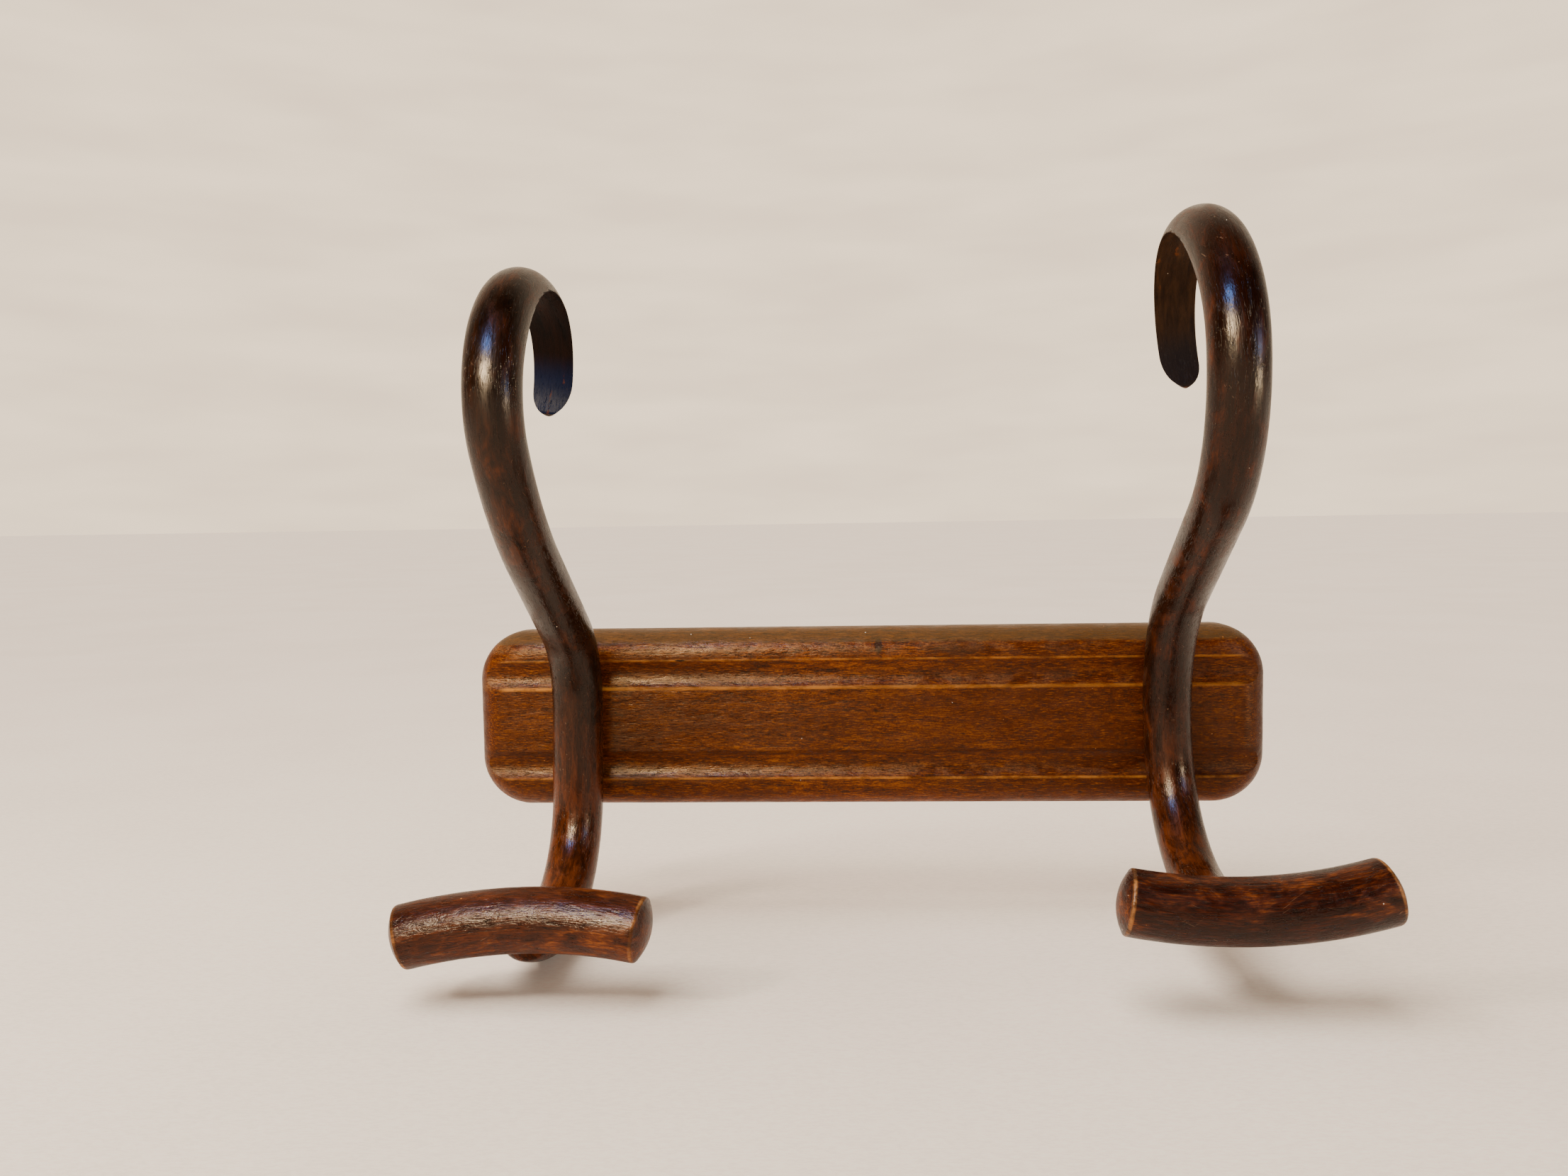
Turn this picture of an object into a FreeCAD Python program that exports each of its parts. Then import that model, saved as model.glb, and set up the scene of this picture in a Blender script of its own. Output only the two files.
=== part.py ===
import FreeCAD, Part
import os
from math import asin, cos, degrees, radians, sin, sqrt

from FreeCAD import Vector

# A bentwood coat and hat rack: a moulded back board, two bent hooks and two curved crossbars.
# Millimetres. X runs along the board, -Y points out from the wall and +Z is up.
# The origin is the centre of the board's back face.

# Back board
BOARD_WIDTH = 420.0
BOARD_HEIGHT = 95.5
BOARD_THICKNESS = 20.0
BOARD_CORNER_R = 27.0
ROUND_OVER_R = 14.0
BACK_EDGE_CHAMFER = 0.8
FLUTE_CENTRE_Z = 24.3
FLUTE_WIDTH = 15.0
FLUTE_DEPTH = 3.0

# Hooks. The bends run from the arm's end up over the seat to the hat loop's tip:
# a pair is (centreline radius, turn in degrees), positive towards the front; a number is a straight.
BED_FLAT = 2.5
LEFT_HOOK = {
    "x": -151.8,
    "lean": -1.3,
    "toe": -2.5,
    "seat_z": 2.7,
    "rod_d": 25.8,
    "below_seat": [(90.0, 26.0), (53.1, 98.0), 39.2],
    "above_seat": [6.0, (53.5, 55.3), 61.4, (180.3, -21.8), (45.5, -143.8), (37.7, -82.5)],
    "thinned_from": 50.0,
    "curl_tilt": 6.6,
    "tip_thickness": 4.6,
    "bar_turn": 4.0,
    "bar_offset": 4.0,
}
RIGHT_HOOK = {
    "x": 154.8,
    "lean": 2.6,
    "toe": -0.4,
    "seat_z": -11.9,
    "rod_d": 24.3,
    "below_seat": [(103.0, 34.0), (60.6, 81.0), 0.7],
    "above_seat": [6.0, (90.0, 56.8), 67.3, (80.8, -56.0), (53.4, -83.1), (41.1, -121.0)],
    "thinned_from": 20.0,
    "curl_tilt": -4.7,
    "tip_thickness": 3.8,
    "bar_turn": 0.0,
    "bar_offset": 3.5,
}
CURL_STEPS = 5
CUT_PAST_TIP = 5.0
TIP_INNER_ROUND = 0.57
TIP_OUTER_ROUND = 0.42
TIP_SIDE_MARGIN = 0.4

# Crossbars and the dowels that they turn on
BAR_D = 28.5
BAR_LENGTH = 106.0
BAR_BEND_R = 240.0
BAR_DOME_HEIGHT = 4.5
DOWEL_R = 6.0
DOWEL_CHAMFER = 0.6
DOWEL_IN_ARM = 20.0
DOWEL_IN_BAR = 13.5
BORE_CLEARANCE = 0.06
BORE_END_GAP = 1.0
POCKET_R = 8.8
NECK_R = 8.2
NECK_LENGTH = 3.4
NECK_SHOULDER = 9.0
NECK_OVERLAP = 0.2
SHOULDER_GAP = 0.3

# Hook screws, two into each hook through the back of the board
HOOK_SCREW_Z = (-10.0, 10.0)
HOOK_SCREW_R = 2.0
HOOK_SCREW_HOLE_R = 2.15
HOOK_SCREW_HEAD_R = 4.0
HOOK_SCREW_LENGTH = 34.0
HOOK_SCREW_POINT = 4.0
SCREW_SINK = 0.4
SCREW_POINT_R = 0.2
SLOT_WIDTH = 1.1
SLOT_DEPTH = 1.2

# Keyhole hanger plates let into the back
PLATE_X = 95.0
PLATE_Z = 18.0
PLATE_WIDTH = 16.0
PLATE_HEIGHT = 42.0
PLATE_THICKNESS = 1.5
PLATE_CORNER_R = 3.0
KEYHOLE_R = 4.5
KEYHOLE_SLOT_WIDTH = 4.6
KEYHOLE_SLOT_LENGTH = 11.0
KEYHOLE_DROP = 4.0
HEAD_POCKET_R = 6.5
HEAD_POCKET_DEPTH = 9.0
PLATE_SCREW_OFFSET = 16.0
PLATE_SCREW_R = 1.4
PLATE_SCREW_HEAD_R = 2.8
PLATE_SCREW_LENGTH = 11.0
PLATE_SCREW_POINT = 2.5

EDGE_TOLERANCE = 1e-6

OUT = Vector(0, -1, 0)
ALONG = Vector(1, 0, 0)


def export(shape, node):
    shape.exportStep("parts/" + node + ".step")


def heading_vector(heading):
    """Direction in the hook's plane: 0 degrees is up and 90 degrees is straight out."""
    return Vector(0, -sin(radians(heading)), cos(radians(heading)))


def bent_path(start, heading, bends):
    """Edges of straights joined by tangent arcs, and the point and heading after each one."""
    edges = []
    stations = [(start, heading)]
    for bend in bends:
        point, heading = stations[-1]
        if isinstance(bend, tuple):
            radius, turn = bend
            side = heading_vector(heading + 90) * (1 if turn > 0 else -1)
            centre = point + side * radius
            spoke = point - centre
            middle = centre + turned(spoke, turn / 2)
            end = centre + turned(spoke, turn)
            edges.append(Part.Arc(point, middle, end).toShape())
            heading += turn
        else:
            end = point + heading_vector(heading) * bend
            edges.append(Part.LineSegment(point, end).toShape())
        stations.append((end, heading))
    return edges, stations


def turned(vector, angle):
    """Turn a vector in the hook's plane by an angle, positive towards the front."""
    return FreeCAD.Rotation(ALONG, angle).multVec(vector)


def hook_path(hook):
    """The hook's centreline in the plane X = 0, from the arm's end to the tip."""
    bends = hook["below_seat"] + hook["above_seat"]
    first_heading = -sum(b[1] for b in hook["below_seat"] if isinstance(b, tuple))
    stations = bent_path(Vector(), first_heading, bends)[1]
    seat = stations[len(hook["below_seat"])][0]
    seat_y = -(BOARD_THICKNESS + hook["rod_d"] / 2 - BED_FLAT)
    start = Vector(0, seat_y, hook["seat_z"]) - seat
    return bent_path(start, first_heading, bends)


def place_hook_piece(shape, hook):
    """Move a piece from the plane X = 0 to its hook's place, toe and lean on the board."""
    bed = Vector(0, -BOARD_THICKNESS, hook["seat_z"])
    shape.rotate(bed, Vector(0, 0, 1), hook["toe"])
    shape.rotate(bed, OUT, hook["lean"])
    shape.translate(Vector(hook["x"], 0, 0))
    return shape


def tilt_curl(shape, hook):
    """Swing a piece of the last bend out of the hook's plane, about the line that it starts on."""
    start, heading = hook_path(hook)[1][-2]
    shape.rotate(start, heading_vector(heading), hook["curl_tilt"])
    return shape


def bent_rod(hook):
    edges, stations = hook_path(hook)
    tilt_curl(edges[-1], hook)
    start, heading = stations[0]
    ring = Part.Wire(Part.makeCircle(hook["rod_d"] / 2, start, heading_vector(heading)))
    return Part.Wire(edges).makePipeShell([ring], True, False)


def curl_stations(hook):
    """(travel, point, heading) along the last two bends, from where the rod starts to thin."""
    found = []
    travel = 0.0
    starts = hook_path(hook)[1][-3:-1]
    for (start, heading), (radius, turn) in zip(starts, hook["above_seat"][-2:]):
        centre = start - heading_vector(heading + 90) * radius
        first_turn = min(0.0, hook["thinned_from"] - heading)
        for k in range(1 if found else 0, CURL_STEPS + 1):
            angle = first_turn + (turn - first_turn) * k / CURL_STEPS
            point = centre + turned(start - centre, angle)
            found.append((travel + radius * radians(first_turn - angle), point, heading + angle))
        travel = found[-1][0]
    return found, centre


def curl_thickness(hook, part):
    """The curl's thickness, from the whole rod at part 0 to the tip at part 1."""
    return hook["tip_thickness"] + (hook["rod_d"] - hook["tip_thickness"]) * (1 - part) ** 2


def curl_cutter(hook):
    """What is taken off the inside of the curl, so that the rod thins smoothly down to its tip."""
    stations, middle = curl_stations(hook)
    points = []
    for travel, point, heading in stations:
        depth = hook["rod_d"] / 2 - curl_thickness(hook, travel / stations[-1][0])
        points.append(point + heading_vector(heading + 90) * depth)
    points.append(points[-1] + heading_vector(stations[-1][2]) * CUT_PAST_TIP)
    face_line = Part.BSplineCurve()
    face_line.interpolate(points)
    back_lines = Part.makePolygon([points[-1], middle, points[0]])
    outline = Part.Wire([face_line.toShape()] + back_lines.Edges)
    outline.translate(ALONG * -hook["rod_d"])
    return tilt_curl(Part.Face(outline).extrude(ALONG * 2 * hook["rod_d"]), hook)


def tip_rounding(hook):
    """What is cut away beside the rounded tip; the side by the rack's middle is the rounder."""
    tip, heading = hook_path(hook)[1][-1]
    depth = 3 * hook["rod_d"]
    rod_r = hook["rod_d"] / 2
    half = sqrt(rod_r ** 2 - (rod_r - hook["tip_thickness"]) ** 2) + TIP_SIDE_MARGIN
    corner = Vector(-half, -depth, -depth / 2)
    block = Part.makeBox(2 * half, depth, depth, corner)
    rounded = block
    inner_x = -half if hook["x"] > 0 else half
    for x, share in ((inner_x, TIP_INNER_ROUND), (-inner_x, TIP_OUTER_ROUND)):
        rounded = rounded.makeFillet(share * 2 * half, edges_at(rounded, x, 0.0))
    waste = block.cut(rounded)
    across = heading_vector(heading + 90)
    facing = FreeCAD.Rotation(ALONG, heading_vector(heading), across, "YXZ")
    waste.Placement = FreeCAD.Placement(tip, facing)
    return tilt_curl(waste, hook)


def edges_at(shape, x, y):
    """The edges that run along Z at (x, y)."""
    place = Vector(x, y, 0)
    return [
        edge for edge in shape.Edges
        if all((Vector(v.X, v.Y, 0) - place).Length < EDGE_TOLERANCE for v in edge.Vertexes)
    ]


def arm_end(hook):
    """The arm's last point and the direction in which its end face looks."""
    point, heading = hook_path(hook)[1][0]
    return point, heading_vector(heading) * -1


def neck_shaping(hook):
    """What is turned away from the arm's end to leave a short round neck and a soft shoulder."""
    point, outward = arm_end(hook)
    rod_r = hook["rod_d"] / 2
    length = NECK_LENGTH + NECK_SHOULDER
    sleeve = Part.makeCylinder(2 * rod_r, length, point - outward * length, outward)
    neck = Part.makeCylinder(NECK_R, length, point - outward * length, outward)
    base = point - outward * length
    shoulder = Part.makeCone(rod_r + NECK_OVERLAP, NECK_R, NECK_SHOULDER, base, outward)
    return sleeve.cut(neck.fuse(shoulder))


def back_screw_hole(x, z, radius, length):
    return Part.makeCylinder(radius, length, Vector(x, 0, z), OUT)


def build_hook(hook):
    rod = bent_rod(hook).cut(curl_cutter(hook)).cut(tip_rounding(hook))
    rod = rod.cut(neck_shaping(hook))
    point, outward = arm_end(hook)
    rod = rod.cut(Part.makeCylinder(DOWEL_R, DOWEL_IN_ARM, point, outward * -1))
    rod = place_hook_piece(rod, hook)
    bed = Part.makeBox(4 * hook["rod_d"], BOARD_THICKNESS, BOARD_HEIGHT)
    bed.translate(Vector(hook["x"] - 2 * hook["rod_d"], -BOARD_THICKNESS, -BOARD_HEIGHT / 2))
    rod = rod.cut(bed)
    for z in HOOK_SCREW_Z:
        rod = rod.cut(hook_screw(hook["x"], z))
    return largest_solid(rod)


def largest_solid(shape):
    return max(shape.Solids, key=lambda solid: solid.Volume)


def build_dowel(hook):
    point, outward = arm_end(hook)
    length = DOWEL_IN_ARM + SHOULDER_GAP + DOWEL_IN_BAR
    dowel = Part.makeCylinder(DOWEL_R, length, point - outward * DOWEL_IN_ARM, outward)
    ends = [edge for edge in dowel.Edges if edge.Closed]
    return place_hook_piece(dowel.makeChamfer(DOWEL_CHAMFER, ends), hook)


def pocket_floor():
    """Distance from the crossbar's axis to the floor of its pocket."""
    return sqrt((BAR_D / 2) ** 2 - POCKET_R ** 2)


def bar_with_domes():
    """A round bar bent to an arc about a line along Y, with its middle at the origin."""
    half_turn = degrees(asin(BAR_LENGTH / 2 / BAR_BEND_R))
    centre = Vector(0, 0, -BAR_BEND_R)
    start = centre + Vector(-sin(radians(half_turn)), 0, cos(radians(half_turn))) * BAR_BEND_R
    tangent = Vector(cos(radians(half_turn)), 0, sin(radians(half_turn)))
    disc = Part.Face(Part.Wire(Part.makeCircle(BAR_D / 2, start, tangent)))
    bar = disc.revolve(centre, Vector(0, 1, 0), 2 * half_turn)
    dome_r = ((BAR_D / 2) ** 2 + BAR_DOME_HEIGHT ** 2) / (2 * BAR_DOME_HEIGHT)
    for side in (-1, 1):
        end = Vector(side * start.x * -1, 0, start.z)
        outward = Vector(side * tangent.x, 0, -tangent.z)
        ball = Part.makeSphere(dome_r, end - outward * (dome_r - BAR_DOME_HEIGHT))
        cap = ball.common(Part.makeCylinder(BAR_D / 2, BAR_DOME_HEIGHT, end, outward))
        bar = bar.fuse(cap)
    return bar


def build_crossbar(hook, arch):
    """arch is 1 where the bar's middle stands high and -1 where it hangs low."""
    point, outward = arm_end(hook)
    centre = point + outward * (SHOULDER_GAP + pocket_floor())
    upright = Vector(0, outward.z, -outward.y)
    bar = bar_with_domes()
    turn = FreeCAD.Rotation(ALONG, Vector(0, 1, 0), upright * arch, "XZY")
    bar.Placement = FreeCAD.Placement(centre + ALONG * hook["bar_offset"], turn)
    bar.rotate(centre, outward, hook["bar_turn"])
    floor = centre - outward * pocket_floor()
    pocket = Part.makeCylinder(POCKET_R, BAR_D, floor, outward * -1)
    bore_depth = DOWEL_IN_BAR + BORE_END_GAP
    bore = Part.makeCylinder(DOWEL_R + BORE_CLEARANCE, bore_depth, floor, outward)
    return place_hook_piece(bar.cut(pocket).cut(bore), hook)


def countersunk_screw(x, z, sizes):
    """A slotted wood screw that enters the back of the board at (x, z)."""
    radius, head_r, length, point_length, sink = sizes
    head_h = head_r - radius
    top = Vector(x, -sink, z)
    head = Part.makeCone(head_r, radius, head_h, top, OUT)
    shank_length = length - point_length - head_h
    shank = Part.makeCylinder(radius, shank_length, top + OUT * head_h, OUT)
    tip_base = top + OUT * (length - point_length)
    tip = Part.makeCone(radius, SCREW_POINT_R, point_length, tip_base, OUT)
    return head.fuse([shank, tip]).removeSplitter()


def screw_slot(x, z, head_r, sink):
    slot = Part.makeBox(3 * head_r, SLOT_DEPTH, SLOT_WIDTH)
    slot.translate(Vector(x - 1.5 * head_r, -sink - SLOT_DEPTH, z - SLOT_WIDTH / 2))
    return slot


def hook_screw(x, z):
    sizes = (HOOK_SCREW_R, HOOK_SCREW_HEAD_R, HOOK_SCREW_LENGTH, HOOK_SCREW_POINT, SCREW_SINK)
    return countersunk_screw(x, z, sizes)


def plate_screw(x, z):
    sizes = (PLATE_SCREW_R, PLATE_SCREW_HEAD_R, PLATE_SCREW_LENGTH, PLATE_SCREW_POINT, 0.0)
    return countersunk_screw(x, z, sizes)


def plate_screw_heights():
    return (PLATE_Z - PLATE_SCREW_OFFSET, PLATE_Z + PLATE_SCREW_OFFSET)


def keyhole(x, radius, slot_width, depth):
    """A round hole with a slot above it, cut in from the back."""
    z = PLATE_Z - KEYHOLE_DROP
    hole = Part.makeCylinder(radius, depth, Vector(x, 0, z), OUT)
    slot = Part.makeBox(slot_width, depth, KEYHOLE_SLOT_LENGTH)
    slot.translate(Vector(x - slot_width / 2, -depth, z))
    top = Vector(x, 0, z + KEYHOLE_SLOT_LENGTH)
    return hole.fuse([slot, Part.makeCylinder(slot_width / 2, depth, top, OUT)])


def rounded_slab(width, height, thickness, corner_r):
    """A slab with its back at Y = 0 and rounded corners seen from the front."""
    slab = Part.makeBox(width, thickness, height, Vector(-width / 2, -thickness, -height / 2))
    corners = [edge for edge in slab.Edges if abs(edge.tangentAt(0).y) > 0.9]
    return slab.makeFillet(corner_r, corners)


def edges_in_plane(shape, y):
    return [
        edge for edge in shape.Edges
        if all(abs(v.Y - y) < EDGE_TOLERANCE for v in edge.Vertexes)
    ]


def plate_blank(x):
    blank = rounded_slab(PLATE_WIDTH, PLATE_HEIGHT, PLATE_THICKNESS, PLATE_CORNER_R)
    blank.translate(Vector(x, 0, PLATE_Z))
    return blank


def build_plate(x):
    plate = plate_blank(x).cut(keyhole(x, KEYHOLE_R, KEYHOLE_SLOT_WIDTH, PLATE_THICKNESS))
    for z in plate_screw_heights():
        plate = plate.cut(plate_screw(x, z))
    return plate


def build_board():
    board = rounded_slab(BOARD_WIDTH, BOARD_HEIGHT, BOARD_THICKNESS, BOARD_CORNER_R)
    board = board.makeFillet(ROUND_OVER_R, edges_in_plane(board, -BOARD_THICKNESS))
    board = board.makeChamfer(BACK_EDGE_CHAMFER, edges_in_plane(board, 0.0))
    flute_r = ((FLUTE_WIDTH / 2) ** 2 + FLUTE_DEPTH ** 2) / (2 * FLUTE_DEPTH)
    flute_y = -BOARD_THICKNESS - (flute_r - FLUTE_DEPTH)
    for z in (-FLUTE_CENTRE_Z, FLUTE_CENTRE_Z):
        start = Vector(-BOARD_WIDTH, flute_y, z)
        board = board.cut(Part.makeCylinder(flute_r, 2 * BOARD_WIDTH, start, ALONG))
    for hook in (LEFT_HOOK, RIGHT_HOOK):
        for z in HOOK_SCREW_Z:
            hole = back_screw_hole(hook["x"], z, HOOK_SCREW_HOLE_R, BOARD_THICKNESS)
            mouth = back_screw_hole(hook["x"], z, HOOK_SCREW_HEAD_R, SCREW_SINK)
            board = board.cut(hole).cut(mouth).cut(hook_screw(hook["x"], z))
    for x in (-PLATE_X, PLATE_X):
        board = board.cut(plate_blank(x))
        board = board.cut(keyhole(x, HEAD_POCKET_R, 2 * HEAD_POCKET_R, HEAD_POCKET_DEPTH))
        for z in plate_screw_heights():
            board = board.cut(plate_screw(x, z))
    return board


def main():
    os.makedirs("parts", exist_ok=True)
    export(build_board(), "back_board")
    for side, hook, arch in (("left", LEFT_HOOK, 1), ("right", RIGHT_HOOK, -1)):
        export(build_hook(hook), "hook_" + side)
        export(build_dowel(hook), "dowel_" + side)
        export(build_crossbar(hook, arch), "crossbar_" + side)
        for place, z in zip(("lower", "upper"), HOOK_SCREW_Z):
            screw = hook_screw(hook["x"], z)
            screw = screw.cut(screw_slot(hook["x"], z, HOOK_SCREW_HEAD_R, SCREW_SINK))
            export(screw, "hook_screw_" + side + "_" + place)
    for side, x in (("left", -PLATE_X), ("right", PLATE_X)):
        export(build_plate(x), "hanger_plate_" + side)
        for place, z in zip(("lower", "upper"), plate_screw_heights()):
            screw = plate_screw(x, z).cut(screw_slot(x, z, PLATE_SCREW_HEAD_R, 0.0))
            export(screw, "plate_screw_" + side + "_" + place)


main()
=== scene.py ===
from math import acos, asin, ceil, cos, pi, radians, sin, sqrt

import bpy
import bmesh
from mathutils import Matrix, Vector


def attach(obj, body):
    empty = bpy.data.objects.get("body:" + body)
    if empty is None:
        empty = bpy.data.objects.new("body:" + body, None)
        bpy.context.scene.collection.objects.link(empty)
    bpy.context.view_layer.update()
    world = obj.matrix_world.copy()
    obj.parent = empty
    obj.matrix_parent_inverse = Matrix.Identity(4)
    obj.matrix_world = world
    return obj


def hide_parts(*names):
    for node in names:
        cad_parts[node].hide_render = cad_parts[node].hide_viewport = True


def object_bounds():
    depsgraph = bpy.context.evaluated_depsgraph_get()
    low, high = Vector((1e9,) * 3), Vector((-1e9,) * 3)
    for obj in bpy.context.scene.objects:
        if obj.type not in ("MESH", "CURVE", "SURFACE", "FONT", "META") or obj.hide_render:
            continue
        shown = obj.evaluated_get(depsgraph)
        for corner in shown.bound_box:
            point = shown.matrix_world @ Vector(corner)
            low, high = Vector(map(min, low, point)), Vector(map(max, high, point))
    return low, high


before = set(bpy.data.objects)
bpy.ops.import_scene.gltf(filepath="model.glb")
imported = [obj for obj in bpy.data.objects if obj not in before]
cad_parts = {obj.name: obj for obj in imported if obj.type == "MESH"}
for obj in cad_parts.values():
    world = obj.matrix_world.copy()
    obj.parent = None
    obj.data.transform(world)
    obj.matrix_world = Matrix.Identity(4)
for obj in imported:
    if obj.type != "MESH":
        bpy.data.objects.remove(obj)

# The looks of a bentwood coat and hat rack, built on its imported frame.
# The shapes' lengths are in millimetres, as in the CAD source, and are turned into metres when a mesh
# is made. Lengths in the materials, the lights and the camera are in metres.

CAD_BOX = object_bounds()
MM = 0.001

BOARD_THICKNESS = 20.0
BOARD_HALF_HEIGHT = 47.75
BED_FLAT = 2.5
FLUTE_CENTRE_Z = 24.3
FLUTE_WIDTH = 15.0

# The hooks' bends, from the arm's end over the seat to the tip, as in the CAD source.
# "girth" is the rod's diameter at the arm's end, the seat, the front of the loop and the tip.
LEFT_HOOK = {
    "x": -151.8, "lean": -1.3, "toe": -2.5, "seat_z": 2.7, "rod_d": 25.8,
    "girth": (25.8, 26.2, 24.6, 25.2),
    "below_seat": [(90.0, 26.0), (53.1, 98.0), 39.2],
    "above_seat": [6.0, (53.5, 55.3), 61.4, (180.3, -21.8), (45.5, -143.8), (37.7, -82.5)],
    "thinned_from": 50.0, "curl_tilt": 6.6, "tip_thickness": 4.6, "bar_turn": 4.0, "bar_offset": 4.0,
}
RIGHT_HOOK = {
    "x": 154.8, "lean": 2.6, "toe": -0.4, "seat_z": -11.9, "rod_d": 24.3,
    "girth": (24.3, 24.0, 24.3, 24.3),
    "below_seat": [(103.0, 34.0), (60.6, 81.0), 0.7],
    "above_seat": [6.0, (90.0, 56.8), 67.3, (80.8, -56.0), (53.4, -83.1), (41.1, -121.0)],
    "thinned_from": 20.0, "curl_tilt": -4.7, "tip_thickness": 3.8, "bar_turn": 0.0, "bar_offset": 3.5,
}
TIP_INNER_LENGTH = 14.0
TIP_OUTER_LENGTH = 9.0
TIP_MIDDLE = -0.16
TIP_NOSE = 1.6
EDGE_SOFTNESS = 0.9
# The last rings' distances from the tip. They take the place of the even stations nearer than this.
LAST_RINGS = (1.2, 0.85, 0.55, 0.3, 0.12, 0.02)
LAST_RINGS_LENGTH = 1.4
# A point of the rod this near the curl's flat counts as part of its inner face.
FACING_DEPTH = 0.9
SHARP_ANGLE = radians(50)
RING_POINTS = 72
STATION_STEP = 1.6

BAR_D = 28.5
BAR_LENGTH = 106.0
BAR_BEND_R = 240.0
BAR_HALF_ARC = BAR_BEND_R * asin(BAR_LENGTH / 2 / BAR_BEND_R)
BAR_DOME_HEIGHT = 4.5
BAR_RIM_R = 1.1
POCKET_R = 8.8
BORE_R = 6.06
BORE_DEPTH = 14.5
NECK_R = 8.2
NECK_LENGTH = 3.4
NECK_SHOULDER = 9.0
SHOULDER_GAP = 0.3

ALONG = Vector((1, 0, 0))


# ---- Hook and crossbar shapes ----

def heading_vector(heading):
    return Vector((0, -sin(radians(heading)), cos(radians(heading))))


def turned(vector, angle):
    return Matrix.Rotation(radians(angle), 3, "X") @ vector


def walk(start, heading, bends):
    """Stations (travel, point, heading, bend number) along straights joined by tangent arcs."""
    stations = [(0.0, start, heading, 0)]
    for number, bend in enumerate(bends):
        travel, point, heading, _ = stations[-1]
        if isinstance(bend, tuple):
            radius, turn = bend
            length = radius * radians(abs(turn))
            centre = point + heading_vector(heading + 90) * (radius if turn > 0 else -radius)
        else:
            length, turn = bend, 0.0
        count = max(2, ceil(length / STATION_STEP))
        for k in range(1, count + 1):
            part = k / count
            if turn:
                place = centre + turned(point - centre, turn * part)
            else:
                place = point + heading_vector(heading) * length * part
            stations.append((travel + length * part, place, heading + turn * part, number))
    return stations


def hook_stations(hook):
    first = -sum(bend[1] for bend in hook["below_seat"] if isinstance(bend, tuple))
    bends = hook["below_seat"] + hook["above_seat"]
    raw = walk(Vector(), first, bends)
    seat = [s for s in raw if s[3] == len(hook["below_seat"]) - 1][-1]
    seat_y = -(BOARD_THICKNESS + hook["rod_d"] / 2 - BED_FLAT)
    shift = Vector((0, seat_y, hook["seat_z"])) - seat[1]
    return [(s, p + shift, h, n) for s, p, h, n in raw], seat[0]


def hook_matrix(hook):
    """Where the hook's own plane goes on the board: its toe, its lean and its place along the board."""
    bed = Vector((0, -BOARD_THICKNESS, hook["seat_z"]))
    toe = Matrix.Rotation(radians(hook["toe"]), 4, "Z")
    lean = Matrix.Rotation(radians(hook["lean"]), 4, Vector((0, -1, 0)))
    shift = Matrix.Translation(bed + ALONG * hook["x"])
    return shift @ lean @ toe @ Matrix.Translation(-bed)


def soft_max(a, b, softness):
    mix = min(1.0, max(0.0, 0.5 + 0.5 * (a - b) / softness))
    return b + (a - b) * mix + softness * mix * (1 - mix) / 2


def curl_thickness(hook, part):
    """The curl's thickness, from the whole rod at part 0 to the tip at part 1."""
    return hook["tip_thickness"] + (hook["rod_d"] - hook["tip_thickness"]) * (1 - part) ** 2


def eased(part):
    part = min(1.0, max(0.0, part))
    return part * part * (3 - 2 * part)


def tip_limit(width, middle, length, to_tip):
    """How far the rounded tip reaches to one side of its middle line, that far back from the tip."""
    if to_tip >= length:
        return width
    return middle + (width - middle) * sqrt(max(0.0, 1 - (1 - to_tip / length) ** 2))


def girth_at(hook, travel, seat_travel, total):
    """The rod's radius, tapering gently between the four places that its girth is given for."""
    low, seat, front, tip = hook["girth"]
    front_travel = seat_travel + (total - seat_travel) * 0.5
    stops = ((0, low), (seat_travel, seat), (front_travel, front), (total, tip))
    for (s0, d0), (s1, d1) in zip(stops, stops[1:]):
        if travel <= s1:
            return (d0 + (d1 - d0) * eased((travel - s0) / (s1 - s0))) / 2
    return tip / 2


def neck_radius(radius, travel):
    if travel >= NECK_LENGTH + NECK_SHOULDER:
        return radius
    part = max(0.0, (travel - NECK_LENGTH) / NECK_SHOULDER)
    return NECK_R + (radius - NECK_R) * (1 - cos(pi * part)) / 2


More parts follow.
